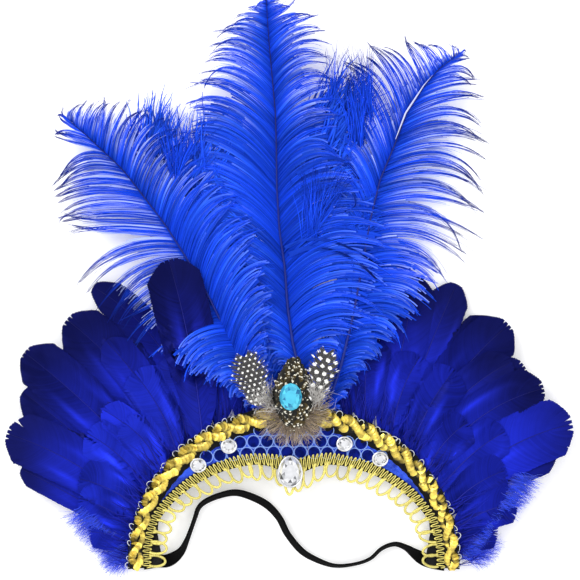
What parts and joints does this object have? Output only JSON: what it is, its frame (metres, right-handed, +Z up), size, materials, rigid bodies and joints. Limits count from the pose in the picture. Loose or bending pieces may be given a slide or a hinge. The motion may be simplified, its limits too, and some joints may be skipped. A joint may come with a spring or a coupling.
{
  "type": "showgirl feather headdress",
  "caption": "Showgirl headdress: an arched sequined band with gold braid and looped gimp, a jewelled feather rosette, ostrich plumes, navy side fans and an elastic strap.",
  "frame": {"origin": "centre of the foot of the bounding box, on the surface it lies on", "axes": "+Z up from the surface towards the front of the headdress, +Y towards the tips of the plumes, +X to the viewer's right"},
  "size_m": [0.353, 0.363, 0.0406],
  "materials": {
    "black_felt": "matt felt",
    "royal_sequin_cloth": "mesh cloth with flat sequins",
    "gold_sequins": "metallised gold sequins",
    "pale_gold_thread": "metallic thread",
    "clear_stone": "faceted, polished",
    "turquoise_stone": "faceted, polished",
    "spotted_feather": "small flecked feathers",
    "guinea_feather": "dark grey with white dots",
    "tan_down": "soft down",
    "royal_ostrich": "soft dyed plume",
    "navy_goose": "satin dyed feather",
    "pale_blue_down": "soft dyed down",
    "black_elastic": "woven elastic"
  },
  "bodies": {
    "root": {"felt_backing": "black_felt", "sequin_cloth": "royal_sequin_cloth", "gold_braid": "gold_sequins", "gimp_braid": "pale_gold_thread", "round_stone_1": "clear_stone", "round_stone_2": "clear_stone", "round_stone_3": "clear_stone", "round_stone_4": "clear_stone", "pear_stone": "clear_stone", "turquoise_stone": "turquoise_stone", "rosette_pad": "spotted_feather", "guinea_feather_left": "guinea_feather", "guinea_feather_right": "guinea_feather", "down_tuft": "tan_down", "plume_left": "royal_ostrich", "plume_middle": "royal_ostrich", "plume_right": "royal_ostrich", "fan_left_1": "navy_goose", "fan_left_2": "navy_goose", "fan_left_3": "navy_goose", "fan_left_4": "navy_goose", "fan_left_5": "navy_goose", "fan_left_6": "navy_goose", "fan_left_7": "navy_goose", "fan_left_8": "navy_goose", "fan_left_9": "navy_goose", "fan_right_1": "navy_goose", "fan_right_2": "navy_goose", "fan_right_3": "navy_goose", "fan_right_4": "navy_goose", "fan_right_5": "navy_goose", "fan_right_6": "navy_goose", "fan_right_7": "navy_goose", "fan_right_8": "navy_goose", "fan_right_9": "navy_goose", "down_left": "pale_blue_down", "down_right": "pale_blue_down", "elastic_strap": "black_elastic"}
  },
  "joints": []
}
